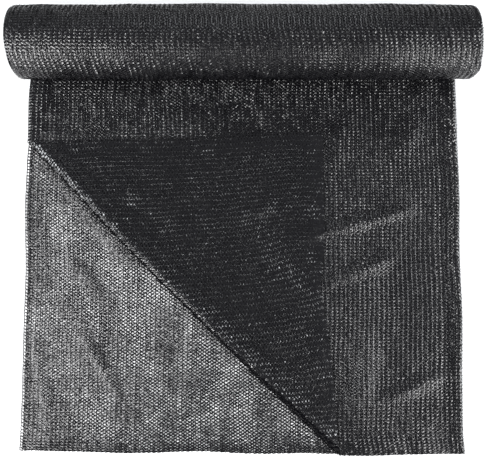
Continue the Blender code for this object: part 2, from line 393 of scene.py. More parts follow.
    def pressed(self, u: Array, v: Array) -> Array:
        """Whether the cloth lies in the band along the diagonal fold whose yarn is darkened as painted
        shade.

        Args:
            u: place across the cloth.
            v: distance from the cut end.

        Returns:
            True from the fold's line as far as a table along the fold tells.
        """
        past = self.past_fold(u, v)
        share = (v + past / ROOT_TWO) / (self.diagonal_sum + self.folded_width / 2)
        reach = along_table(self.shade_band_reach, np.clip(share, 0.0, 1.0))
        return (past > -self.shade_band_before) & (past < reach) & (v < self.length)

    def place(self, u: Array, v: Array) -> Array:
        """Carries cloth coordinates to where the loose end lies.

        Across the cloth, the section is the lower layer from left to right, a half circle
        round the side fold, and the upper layer back to the left.

        Args:
            u: place across the cloth, 0 to twice the folded width.
            v: distance from the cut end.

        Returns:
            Points of the cloth's middle surface, one more axis than the arguments.
        """
        radius = self.fold_radius(v)
        flat_run = self.folded_width - math.pi * radius / 2
        left = self.left_x(v)
        turn = self.right_x(v) - radius
        angle = np.clip((u - flat_run) / radius, 0.0, math.pi)
        lower = self.uneven(np.clip(u / flat_run, 0.0, 1.0))
        upper = self.uneven(np.clip((2 * self.folded_width - u) / flat_run, 0.0, 1.0))
        on_lower = u <= flat_run
        on_upper = u >= 2 * self.folded_width - flat_run
        x = left + (turn - left) * np.where(on_lower, lower, np.where(on_upper, upper, 1.0))
        x = x + radius * np.sin(angle)
        along = v + along_table(self.cut_end, x) * (1 - v / self.length)
        under = self.lower_mid + self.under_height(x, along)
        round_fold = under + radius * (1 - np.cos(angle))
        top_x, top_v, top_z = self.turn_corner(x, along)
        top_x, top_v = self.wave_diagonal(top_x, top_v)
        new_x = np.where(on_upper, top_x, x)
        new_v = np.where(on_upper, top_v, along)
        new_z = np.where(on_upper, top_z, np.where(on_lower, under, round_fold))
        return np.stack([new_x, new_v - self.half_depth, new_z], axis=-1)

    def uneven(self, share: Array) -> Array:
        """Spreads the ribs across a layer: a tenth closer together beside the selvedge."""
        gathered = self.crowding * (1 - np.exp(-share / self.crowding_run))
        return share - gathered + self.crowding * share

    def past_fold(self, u: Array, v: Array) -> Array:
        """How far a cloth point lies past the diagonal fold, negative on the lower layer.

        Args:
            u: place across the cloth.
            v: distance from the cut end.

        Returns:
            The distance, measured square to the fold on the flat layer.
        """
        share = (2 * self.folded_width - u) / self.folded_width
        x = self.left_x(v) + (self.right_x(v) - self.left_x(v)) * self.uneven(np.clip(share, 0, 1))
        along = v + along_table(self.cut_end, x) * (1 - v / self.length)
        return np.where(u > self.folded_width, self.past_diagonal(x, along), -1.0)


@dataclass
class Roll:
    """The lie of the roll's outermost turn: both layers on one spiral, with rounded rims."""

    loose: LooseEnd
    radius: float = 0.064
    turn_pitch: float = 0.0033
    sink: float = 0.0011
    left_half: Table = (
        (0.0, 0.3835), (1.4, 0.3895), (3.3, 0.3905), (3.85, 0.3885), (4.7, 0.3845), (6.3, 0.3800),
    )  # fmt: skip
    right_half: Table = (
        (0.0, 0.3835), (1.4, 0.3895), (3.3, 0.3905), (3.85, 0.3928), (4.26, 0.3955),
        (4.75, 0.3915), (5.4, 0.3850),
    )  # fmt: skip
    fold_radius: float = 0.0009
    rim_reach: float = 0.004
    rim_drop: float = 0.0012
    swell_start: float = 0.8
    swells: Table = (
        (-0.392, -0.0008), (-0.274, 0.0), (-0.059, 0.0009), (0.118, 0.0001), (0.255, 0.0004),
        (0.392, -0.0008),
    )  # fmt: skip
    uneven_winding: Ripple = Ripple(seed=23, size=0.00045, shortest=0.050, longest=0.220)

    @property
    def line_y(self) -> float:
        """Where the roll bears on the floor."""
        return self.loose.length - self.loose.half_depth

    @property
    def turn_length(self) -> float:
        """Length of cloth in the outermost turn."""
        return 2 * math.pi * (self.radius - self.turn_pitch / 2)

    def half_at(self, angle: Array, side: int) -> Array:
        """How far the rim at the side fold (1) or the other side (-1) is from the middle."""
        table = self.right_half if side > 0 else self.left_half
        return along_table(table, np.clip(angle, 0.0, table[-1][0]))

    def place(self, u: Array, v: Array) -> Array:
        """Carries cloth coordinates onto the outermost turn.

        The radius falls evenly by one turn's pitch on the way round, less half a layer for
        the outer layer and a layer's step more for the inner one, and the section is
        flattened where it bears on the floor and on the loose end.

        Args:
            u: place across the cloth.
            v: distance from the cut end, from the roll's line onwards.

        Returns:
            Points of the cloth's middle surface.
        """
        width = self.loose.folded_width
        angle = (v - self.loose.length) / (self.radius - self.turn_pitch / 2)
        flat_run = width - math.pi * self.fold_radius / 2
        bend = np.clip((u - flat_run) / self.fold_radius, 0.0, math.pi)
        share = self.loose.uneven(np.clip(np.minimum(u, 2 * width - u) / flat_run, 0.0, 1.0))
        left = -self.half_at(angle, -1)
        turn = self.half_at(angle, 1) - self.fold_radius
        x = left + (turn - left) * share + self.fold_radius * np.sin(bend)
        depth = self.loose.lower_mid + self.fold_radius * (1 - np.cos(bend))
        edge = np.minimum(x - left, self.half_at(angle, 1) - x)
        drop = self.rim_drop * np.clip(1 - edge / self.rim_reach, 0.0, 1.0) ** 2
        outer = self.radius + along_table(self.swells, x)
        lift = self.uneven_winding.at(x, angle * self.radius) * smoothstep(angle / self.swell_start)
        radius = outer + lift - self.turn_pitch * angle / (2 * math.pi) - depth - drop
        centre = outer - self.sink
        low = np.where(angle > math.pi, self.turn_pitch + depth, depth)
        y = self.line_y + radius * np.sin(angle)
        z = np.maximum(centre - radius * np.cos(angle), low)
        return np.stack([x, y, z], axis=-1)


@dataclass
class Lie:
    """The whole cloth's lie: the loose end up to the roll's line, and the roll past it."""

    loose: LooseEnd
    roll: Roll
    probe: float = 0.0002
    floor_gap: float = 0.00005

    def place(self, u: Array, v: Array) -> Array:
        """Points of the cloth's middle surface on either part.

        Args:
            u: place across the cloth.
            v: distance from the cut end.

        Returns:
            The points.
        """
        u, v = np.broadcast_arrays(u, v)
        line = self.loose.length
        laid = self.loose.place(u, np.minimum(v, line))
        wound = self.roll.place(u, np.maximum(v, line))
        return np.where((v <= line)[..., None], laid, wound)

    def raise_off(self, u: Array, v: Array, height: Array) -> tuple[Array, Array]:
        """Points that stand off the cloth's middle surface, and the cloth's normal at each.

        Args:
            u: place across the cloth.
            v: distance from the cut end.
            height: distance along the normal, which is the cross product of the central
                differences across and along the cloth.

        Returns:
            The raised points, none of them under the floor, and the unit normals.
        """
        across = self.place(u + self.probe, v) - self.place(u - self.probe, v)
        along = self.place(u, v + self.probe) - self.place(u, v - self.probe)
        normal = np.cross(across, along)
        normal /= np.maximum(np.linalg.norm(normal, axis=-1, keepdims=True), 1e-12)
        raised = self.place(u, v) + normal * height[..., None]
        raised[..., 2] = np.maximum(raised[..., 2], self.floor_gap)
        return raised, normal


# ---------------------------------------------------------------- the knit


class Yarn(Enum):
    """The yarns a strip can be, by the order of their materials on a piece."""

    RIB = 0
    TAPE = 1
    # yarn with painted shade: darker and almost without shine, for the band along the diagonal fold
    FOLD_SHADE = 2


@dataclass
class Strips:
    """Strips of yarn in cloth coordinates: arrays of strips by stations by points across."""

    u: Array
    v: Array
    height: Array
    yarn: Yarn
    side: int
    tint: Array
    width: float

    def quads(self) -> Array:
        """Corner numbers of the quads between neighbouring points, strip by strip."""
        return grid_quads(np.arange(self.u.size).reshape(self.u.shape))

    def map_coordinates(self) -> Array:
        """Across the strip from 0 to 1, and along it in widths of the strip.

        Returns:
            A pair for each point.
        """
        strips, _, points = self.u.shape
        across = np.broadcast_to(np.linspace(0, 1, points), self.u.shape)
        middle = points // 2
        du = np.diff(self.u[:, :, middle], axis=1)
        dv = np.diff(self.v[:, :, middle], axis=1)
        run = np.concatenate([np.zeros((strips, 1)), np.cumsum(np.hypot(du, dv), axis=1)], axis=1)
        along = np.broadcast_to(run[:, :, None] / self.width, self.u.shape)
        return np.stack([across, along], axis=-1).reshape(-1, 2)


@dataclass(frozen=True)
class Block:
    """A block of the knit: which half of the cloth, which rows, and how its yarn lies.

    Side is 1 where the yarn stands on the normal's side of the cloth, or -1. The slacks
    tell how much tapes and ribs lean and twist, 1 where the cloth lies loose, and wider
    how many times wider than on the loose end the tape lies.
    """

    upper: bool
    rows: tuple[int, int]
    side: int
    seed: int
    tape_slack: float
    rib_slack: float
    wider: float = 1.0


@dataclass
class Knit:
    """The open knit: ribs of chain stitch with a zigzag of flat tape between each two.

    Ridges mark the patches where the two layers lie in step, where the upper layer's
    tapes lie flat, and where the tapes of either layer are narrower, so that the net is
    more open. The reach is from the cut end to past the end of the outer turn.
    """

    width: float = CLOTH_WIDTH
    gaps: int = 188
    half_course: float = 0.0029
    rib_half: float = 0.00104
    rib_crown: float = 0.00028
    rib_foot: float = 0.00012
    foot_uneven: float = 0.00005
    rib_uneven: float = 0.10
    crown_uneven: float = 0.18
    loop_swell: float = 0.80
    loop_width: float = 0.20
    rib_lean: float = 0.12
    stitch_lean: float = 0.08
    most_lean: float = 0.8
    rib_sway: float = 0.00030
    sway_ribs: float = 6.0
    fold_ribs: float = 4.0
    held: float = 0.15
    tape_width: float = 0.00252
    tape_arch: float = 0.00038
    tape_twist: float = 0.12
    tape_lean: float = 0.07
    tape_turn: float = 0.60
    tape_uneven: float = 0.10
    tape_taper: float = 0.12
    tape_bow: float = 0.00028
    arch_uneven: float = 0.5
    tight_width: float = 1.24
    tight_gaps: int = 4
    fold_width: float = 1.40
    end_width: tuple[float, float] = (0.22, 0.95)
    end_width_run: float = 0.016
    overhang: float = 0.001
    edge_half: float = 0.00075
    edge_crown: float = 0.5
    edge_inset: float = 0.0008
    ladder_end: float = 0.0060
    rung_width: float = 0.0024
    rung_uneven: float = 0.12
    rung_slant: float = 0.0006
    slant_uneven: float = 0.0003
    rung_ends: float = 1.35
    rung_waist: float = 0.55
    upper_rung: float = 1.35
    rung_section: Triple = (-0.000024, 0.00024, -0.000024)
    end_gather: float = 0.0058
    gather_run: float = 0.018
    drift_start: float = 0.030
    drift: float = 0.00036
    drift_run: float = 0.045
    lean_run: float = 0.024
    reach: float = 1.3
    seed: int = 5
    drift_across: Ripple = Ripple(seed=31, size=0.0006, shortest=0.040, longest=0.300)
    drift_along: Ripple = Ripple(seed=37, size=0.0006, shortest=0.040, longest=0.300)
    openness: Ripple = Ripple(seed=41, size=0.065, shortest=0.012, longest=0.070)
    streak: float = 0.22
    gap_openness: float = 0.035
    aside_run: float = 0.026
    most_in_step: float = 0.95
    in_step: tuple[Ridge, ...] = (
        Ridge(0.196, 0.400, 0.218, -0.060, 0.86, 0.052),
        Ridge(0.130, 0.052, 0.350, 0.046, 0.62, 0.034),
        Ridge(0.180, 0.700, 0.245, 0.420, 0.42, 0.050),
        Ridge(-0.450, 0.634, 0.360, 0.634, 0.52, 0.024),
        Ridge(-0.340, 0.672, 0.080, 0.676, 0.34, 0.018),
    )
    pressed_flat: tuple[Ridge, ...] = (
        Ridge(0.300, 0.500, 0.300, 0.040, 0.85, 0.042),
        Ridge(-0.365, 0.560, -0.300, 0.200, 0.65, 0.040),
        Ridge(-0.480, 0.630, 0.420, 0.630, -0.70, 0.026),
        Ridge(0.369, 0.420, 0.369, -0.200, -0.80, 0.012),
        Ridge(0.335, 0.110, 0.360, -0.110, 0.90, 0.026),
    )
    open_over: tuple[Ridge, ...] = (
        Ridge(0.340, 0.760, 0.340, -0.200, -0.18, 0.024),
        Ridge(0.370, 0.360, 0.372, -0.160, -0.22, 0.010),
        Ridge(0.210, 0.380, 0.205, -0.020, 0.22, 0.036),
    )
    open_under: tuple[Ridge, ...] = (
        Ridge(-0.260, 0.380, 0.090, -0.040, 0.09, 0.050),
        Ridge(-0.152, 0.310, -0.150, 0.040, 0.13, 0.022),
        Ridge(-0.352, 0.360, -0.345, 0.060, 0.09, 0.030),
        Ridge(-0.262, 0.440, -0.236, 0.290, -0.12, 0.018),
        Ridge(0.210, 0.380, 0.205, -0.020, 0.14, 0.036),
    )
    drifts: Array = field(init=False, repr=False)
    leans: Array = field(init=False, repr=False)
    slacks: Array = field(init=False, repr=False)

    def __post_init__(self) -> None:
        """Draws each rib's wander and lean and each gap's slack, at knots along the cloth."""
        rng = np.random.default_rng(self.seed)
        knots = int(self.reach / self.lean_run) + 4
        self.drifts = rng.normal(0, self.drift, (self.gaps + 1, int(self.reach / self.drift_run) + 4))
        self.drifts[[0, 1, self.middle, self.gaps - 1, self.gaps]] *= self.held
        self.leans = rng.normal(0, 1.0, (self.gaps + 1, knots))
        self.slacks = rng.normal(0, 1.0, (self.gaps + 1, knots))

    @staticmethod
    def between_knots(table: Array, rib: Array, place: Array) -> Array:
        """Reads a rib's or gap's own row of a table, eased from knot to knot.

        Args:
            table: a row to a rib or gap, a column to a knot.
            rib: the row to read.
            place: distance along the cloth in knots.

        Returns:
            The value at each place.
        """
        knot = np.clip(np.floor(place).astype(int), 0, table.shape[1] - 2)
        ease = smoothstep(place - knot)
        return table[rib, knot] * (1 - ease) + table[rib, knot + 1] * ease

    @property
    def pitch(self) -> float:
        """Distance from rib to rib, inside the two ladders."""
        return (self.width - 2 * self.ladder_end) / (self.gaps - 2)

    @property
    def middle(self) -> int:
        """The rib at the side fold, the last one of the lower layer."""
        return self.gaps // 2

    def folded_x(self, u: Array) -> Array:
        """Where a cloth point lies across the folded cloth, 0 at its middle."""
        return np.where(u > self.width / 2, self.width * 0.75 - u, u - self.width / 4)

    def step_aside(self, u: Array, v: Array) -> Array:
        """How far the upper layer's ribs stand beside those of the lower layer.

        Half a pitch, which closes each layer's holes with the other's ribs, less where
        the two layers lie in step and light comes through both. It eases to none at the
        side fold and the selvedge.

        Args:
            u: place across the cloth.
            v: distance from the cut end.

        Returns:
            The offset across the cloth, none on the lower layer.
        """
        fold = self.width / 2
        apart = 1 - np.clip(total_at(self.in_step, self.folded_x(u), v), 0.0, self.most_in_step)
        ends = smoothstep((u - fold) / self.aside_run) * smoothstep((self.width - u) / self.aside_run)
        return np.where(u > fold, -self.pitch / 2 * apart * ends, 0.0)

    def station(self, rib: Array, row: Array) -> tuple[Array, Array]:
        """Where a rib stands at a row.

        Ribs are evenly pitched between the selvedges' ladders, sway to the side that a
        tape pulls them at each row, wander by their own eased random offsets, and drift
        with the whole cloth. Rows are even too, but lie closer together beside the cut
        end.

        Args:
            rib: rib number, 0 to the number of gaps.
            row: row number from the cut end, two rows to a repeat.

        Returns:
            u and v of the rib's middle.
        """
        rib, row = np.broadcast_arrays(rib, row)
        even = row * self.half_course
        wander = self.between_knots(self.drifts, rib, even / self.drift_run)
        inner = np.clip(np.minimum(rib, self.gaps - rib) / self.sway_ribs, 0.0, 1.0)
        inner = inner * np.clip(np.abs(rib - self.middle) / self.fold_ribs, self.held, 1.0)
        upper = rib > self.middle
        sway = self.rib_sway * np.where((row + upper) % 2 == 0, 1.0, -1.0) * inner
        base = self.ladder_end + (rib - 1) * self.pitch
        base = np.where(rib == 0, self.edge_inset, base)
        base = np.where(rib == self.gaps, self.width - self.edge_inset, base)
        u = base + wander + sway + inner * self.drift_across.at(base, even)
        u = u + self.step_aside(base, even)
        gathered = self.end_gather * (1 - np.exp(-even / self.gather_run))
        v = even - gathered + smoothstep(even / self.drift_start) * self.drift_along.at(base, even)
        return np.clip(u, 0.0, self.width), np.maximum(v, 0.0)

    def ribs(self, block: Block) -> Strips:
        """Chain-stitch ribs: a roof of two slopes whose width and crown vary stitch by stitch.

        Every other stitch is a wider and higher loop. The ridge of the roof leans by an
        eased offset of the rib's own and a small one at each stitch.

        Args:
            block: the block of the knit.

        Returns:
            The strips, one to a rib.
        """
        first, last = (self.middle + 1, self.gaps) if block.upper else (0, self.middle)
        start, end = block.rows
        rng = np.random.default_rng(self.seed * 1000 + first * 7 + start)
        rib = np.arange(first, last + 1)[:, None]
        row = np.arange(start, end + 1)[None, :]
        u, v = self.station(rib, row)
        shape = u.shape
        beat = np.where((row + rib) % 2 == 0, 1.0, -1.0)
        edge = (rib == 0) | (rib == self.gaps)
        half = self.rib_half * rng.normal(1.0, self.rib_uneven, shape) * (1 + self.loop_width * beat)
        half = np.where(edge, self.edge_half, half)
        loop = np.where(edge, self.edge_crown, 1.0 + self.loop_swell * beat)
        crown = block.rib_slack * self.rib_crown * rng.normal(1.0, self.crown_uneven, shape) * loop
        own_lean = self.between_knots(self.leans, rib, row * self.half_course / self.lean_run)
        lean = self.rib_lean * own_lean + rng.normal(0, self.stitch_lean, shape)
        lean = np.clip(lean * block.rib_slack * half, -self.most_lean * half, self.most_lean * half)
        low = rng.normal(0, self.foot_uneven, shape) - self.rib_foot
        points_u = np.stack([u - half, u + lean, u + half], axis=-1)
        points_v = np.repeat(v[..., None], 3, axis=-1)
        heights = block.side * np.stack([low, crown, low], axis=-1)
        tint = np.broadcast_to(rng.uniform(0, 1, (*shape, 1)), points_u.shape)
        return Strips(points_u, points_v, heights, Yarn.RIB, block.side, tint, 2 * self.rib_half)

    def legs(
        self, block: Block, gap: Array, row: Array, bent: bool, rng: np.random.Generator
    ) -> Strips:
        """Tape legs: each crosses one gap in one row, to the right on even rows and back on odd.

        The upper layer's legs run the other way, so that they lie along the lower layer's.
        A leg is a straight run between its two stations with a small bow, and tapers to its
        ends. It is wider close to the cut end and narrower where the net is more open. It
        arches off the cloth in its middle and twists evenly on its way, by a little more or
        less at each point, and least where the upper layer is pressed flat.

        Args:
            block: the block of the knit.
            gap: gap of each leg, the rib on its left.
            row: row at which each leg starts.
            bent: whether the legs go round a fold, so that they are finer and wider.
            rng: draws each leg's bow, width, twist, arch and tint.

        Returns:
            The strips, one to a leg.
        """
        parts, wider = (4, self.fold_width) if bent else (2, block.wider)
        forward = (row + (gap >= self.middle)) % 2 == 0
        from_u, from_v = self.station(np.where(forward, gap, gap + 1), row)
        to_u, to_v = self.station(np.where(forward, gap + 1, gap), row + 1)
        one_each = (len(gap), 1)
        share = np.linspace(0, 1, parts + 1)[None, :]
        swell = np.sin(math.pi * share)
        bow = rng.normal(0, self.tape_bow, one_each)
        u = from_u[:, None] + (to_u - from_u)[:, None] * share
        v = from_v[:, None] + (to_v - from_v)[:, None] * share + bow * swell
        knots = row * self.half_course / self.lean_run
        width = wider * self.tape_width * rng.normal(1.0, self.tape_uneven, one_each)
        width = width * (1 - self.tape_taper + self.tape_taper * swell)
        tight = (gap == 1) | (gap >= self.gaps - self.tight_gaps)
        width = width * np.where(tight, self.tight_width, 1.0)[:, None]
        over = u > self.width / 2
        x = self.folded_x(u)
        own_open = self.gap_openness * self.between_knots(self.slacks, gap, knots)[:, None]
        patches = np.where(over, total_at(self.open_over, x, v), total_at(self.open_under, x, v))
        open_here = self.openness.at(u, v * self.streak) + own_open + patches
        at_end = np.where(over, self.end_width[1], self.end_width[0]) * np.exp(-v / self.end_width_run)
        width = width * (1 + at_end - open_here)
        lean = self.tape_lean * self.between_knots(self.leans, gap, knots)[:, None]
        turn = self.tape_turn * (1 - 2 * share)
        twist = rng.normal(0, self.tape_twist, (len(gap), parts + 1)) + lean + turn
        calm = 1 - np.where(over, total_at(self.pressed_flat, x, v), 0.0)
        twist = twist * calm * block.tape_slack * width / 2
        arch = self.tape_arch * rng.normal(1.0, self.arch_uneven, one_each) * swell
        points_u = np.repeat(u[..., None], 2, axis=-1)
        points_v = np.maximum(np.stack([v - width / 2, v + width / 2], axis=-1), -self.overhang)
        heights = block.side * np.stack([arch - twist, arch + twist], axis=-1)
        tint = np.broadcast_to(rng.uniform(0, 1, (len(gap), 1, 1)), points_u.shape)
        return Strips(points_u, points_v, heights, Yarn.TAPE, block.side, tint, self.tape_width)

    def rungs(self, block: Block, rng: np.random.Generator) -> Strips:
        """The selvedge's ladder: one narrow rung to a repeat between the edge cord and its rib.

        A rung is a straight run with a slant, a waist and a low crown.

        Args:
            block: the block of the knit.
            rng: draws each rung's slant, width and tint.

        Returns:
            The strips, one to a rung.
        """
        gap = self.gaps - 1 if block.upper else 0
        start, end = block.rows
        row = np.arange(start + (start + block.upper) % 2, end, 2)
        count = len(row)
        from_u, from_v = self.station(np.full(count, gap), row)
        to_u, _ = self.station(np.full(count, gap + 1), row)
        slant = rng.normal(self.rung_slant, self.slant_uneven, count)
        share = np.linspace(0, 1, 4)[None, :]
        u = from_u[:, None] + (to_u - from_u)[:, None] * share
        v = from_v[:, None] + slant[:, None] * (1 - 2 * share)
        width = self.rung_width * rng.normal(1, self.rung_uneven, (count, 1))
        width = width * (self.rung_ends - self.rung_waist * np.sin(math.pi * share))
        width = width * (self.upper_rung if block.upper else 1.0)
        points_u = np.repeat(u[..., None], 3, axis=-1)
        points_v = np.stack([v - width / 2, v, v + width / 2], axis=-1)
        heights = np.broadcast_to(block.side * np.array(self.rung_section), points_u.shape)
        tint = np.broadcast_to(rng.uniform(0, 1, (count, 1, 1)), points_u.shape)
        return Strips(points_u, points_v, heights, Yarn.TAPE, block.side, tint, self.rung_width)


# ---------------------------------------------------------------- meshes


@dataclass
class Piece:
    """A mesh under way: strips gathered together, then laid and made an object."""

    name: str
    lie: Lie
    strips: list[Strips]

    def build(self, keep: Callable[[Array, Array], Array] | None = None) -> bpy.types.Object:
        """Lays the strips where the cloth lies and makes one mesh of them.

        A face whose own normal, the cross product of its diagonals, points to the hidden
        side of the cloth is turned over.

        Args:
            keep: tells, from u and v of each quad's middle, which quads stay; all if None.

        Returns:
            The object, at the origin, with its tape map and tint attribute.
        """
        u, v = joined(s.u for s in self.strips), joined(s.v for s in self.strips)
        height, tint = joined(s.height for s in self.strips), joined(s.tint for s in self.strips)
        tape_map = np.concatenate([s.map_coordinates() for s in self.strips])
        starts = np.cumsum([0] + [s.u.size for s in self.strips[:-1]])
        own_quads = [s.quads() for s in self.strips]
        counts = [len(q) for q in own_quads]
        quads = np.concatenate([q + start for q, start in zip(own_quads, starts)])
        yarn = np.repeat([s.yarn.value for s in self.strips], counts)
        side = np.repeat([s.side for s in self.strips], counts)
        middle_u, middle_v = u[quads].mean(axis=1), v[quads].mean(axis=1)
        # quads in the band along the diagonal fold take the yarn with painted shade
        yarn = np.where(self.lie.loose.pressed(middle_u, middle_v), Yarn.FOLD_SHADE.value, yarn)
        if keep is not None:
            stays = keep(middle_u, middle_v)
            quads, yarn, side = quads[stays], yarn[stays], side[stays]
        used = np.unique(quads)
        renumber = np.zeros(len(u), dtype=np.int64)
        renumber[used] = np.arange(len(used))
        quads = renumber[quads]
        points, normals = self.lie.raise_off(u[used], v[used], height[used])
        corners = points[quads]
        faces = np.cross(corners[:, 2] - corners[:, 0], corners[:, 3] - corners[:, 1])
        outwards = (faces * normals[quads].mean(axis=1)).sum(axis=1) * side > 0
        quads = np.where(outwards[:, None], quads, quads[:, ::-1])
        return mesh_object(self.name, points, quads, tape_map[used], tint[used], yarn)


def mesh_object(
    name: str, points: Array, quads: Array, tape_map: Array, tint: Array | float,
    slots: Array | int = 0,
) -> bpy.types.Object:  # fmt: skip
    """Puts whole arrays into a new smooth-shaded mesh.

    Args:
        name: name of the object.
        points: coordinates, one row to a vertex.
        quads: vertex numbers, four to a face.
        tape_map: map coordinates, one row to a vertex.
        tint: a number from 0 to 1 for each vertex or for all, which varies the finish.
        slots: material number of each face or of all.

    Returns:
        The object, linked to the scene.
    """
    mesh = bpy.data.meshes.new(name)
    mesh.vertices.add(len(points))
    mesh.vertices.foreach_set("co", points.astype(np.float32).reshape(-1))
    mesh.loops.add(quads.size)
    mesh.loops.foreach_set("vertex_index", quads.astype(np.int32).reshape(-1))
    mesh.polygons.add(len(quads))
    mesh.polygons.foreach_set("loop_start", np.arange(0, quads.size, 4, dtype=np.int32))
    slots = np.broadcast_to(slots, len(quads))
    mesh.polygons.foreach_set("material_index", slots.astype(np.int32))
    layer = mesh.uv_layers.new(name="tape")
    layer.data.foreach_set("uv", tape_map[quads.reshape(-1)].astype(np.float32).reshape(-1))
    attribute = mesh.attributes.new("tint", "FLOAT", "POINT")
    tint = np.broadcast_to(tint, len(points))
    attribute.data.foreach_set("value", tint.astype(np.float32))
    mesh.update(calc_edges=True)
    mesh.validate()
    mesh.shade_smooth()
    made = bpy.data.objects.new(name, mesh)
    bpy.context.scene.collection.objects.link(made)
    return made


# ---------------------------------------------------------------- materials


class Value:
    """A shader socket that arithmetic extends with Math nodes."""

    def __init__(self, graph: "Graph", socket: bpy.types.NodeSocket) -> None:
        """Wraps a socket of a graph."""
        self.graph = graph
        self.socket = socket

    def _math(self, operation: str, first: object, second: object) -> "Value":
        """One Math node on two operands, either of which may be a plain number."""
        return self.graph.node("ShaderNodeMath", {"operation": operation}, {0: first, 1: second})

    def __add__(self, other: object) -> "Value":
        """self + other."""
        return self._math("ADD", self, other)

    __radd__ = __add__

    def __sub__(self, other: object) -> "Value":
        """self - other."""
        return self._math("SUBTRACT", self, other)

    def __rsub__(self, other: object) -> "Value":
        """other - self."""
        return self._math("SUBTRACT", other, self)

    def __mul__(self, other: object) -> "Value":
        """self * other."""
        return self._math("MULTIPLY", self, other)

    __rmul__ = __mul__

    def sine(self) -> "Value":
        """The sine of self."""
        return self._math("SINE", self, 0.0)

    def distance(self, other: object) -> "Value":
        """The size of self - other."""
        return self.graph.node("ShaderNodeMath", {"operation": "ABSOLUTE"}, {0: self - other})


class Graph:
    """A material's node tree, added to one node at a time."""

    def __init__(self, name: str) -> None:
        """Starts a material with an output and nothing else.

        Args:
            name: the material's name.
        """
        self.material = bpy.data.materials.new(name)
        self.material.use_nodes = True
        self.tree = self.material.node_tree
        self.tree.nodes.clear()
        self.output = self.tree.nodes.new("ShaderNodeOutputMaterial")

    def node(
        self,
        kind: str,
        settings: dict[str, object] | None = None,
        sockets: dict[object, object] | None = None,
        out: object = 0,
    ) -> Value:
        """Adds a node, sets it, and fills its sockets.

        Args:
            kind: the node's type.
            settings: its properties, set first; "stops" fills a colour ramp.
            sockets: values or links, by the socket's name or number.
            out: name or number of the output that is returned.

        Returns:
            The wrapped output.
        """
        made = self.tree.nodes.new(kind)
        for name, setting in (settings or {}).items():
            if name == "stops":
                elements = made.color_ramp.elements
                for element, (place, shade) in zip(elements, setting):
                    element.position = place
                    element.color = (shade, shade, shade, 1.0)
            else:
                setattr(made, name, setting)
        for key, given in (sockets or {}).items():
            if isinstance(given, Value):
                self.tree.links.new(given.socket, made.inputs[key])
            else:
                made.inputs[key].default_value = given
        return Value(self, made.outputs[out])

    def vector(self, operation: str, *vectors: object, out: object = 0) -> Value:
        """One Vector Math node on one or two vectors."""
        return self.node("ShaderNodeVectorMath", {"operation": operation}, dict(enumerate(vectors)), out)

    def noise(self, at: Value, scale: float, detail: float, dims: str = "3D", **more: object) -> Value:
        """Noise at a place, with any more of its sockets by name."""
        sockets = {"Vector": at, "Scale": scale, "Detail": detail, **more}
        return self.node("ShaderNodeTexNoise", {"noise_dimensions": dims}, sockets)

    def mix(self, factor: object, first: object, second: object) -> Value:
        """A colour between two.

        Args:
            factor: 0 for the first and 1 for the second.
            first: a colour, as a value or three plain numbers.
            second: the other colour.

        Returns:
            The mixed colour.
        """
        first, second = (c if isinstance(c, Value) else (*c, 1.0) for c in (first, second))
        sockets = {"Factor": factor, 6: first, 7: second}
        return self.node("ShaderNodeMix", {"data_type": "RGBA"}, sockets, out=2)

    def finished(self, sockets: dict[object, object]) -> bpy.types.Material:
        """Ends the tree with a Principled shader.

        Args:
            sockets: the shader's values or links, by name.

        Returns:
            The material.
        """
        shader = self.node("ShaderNodeBsdfPrincipled", None, sockets)
        self.tree.links.new(shader.socket, self.output.inputs["Surface"])
        return self.material


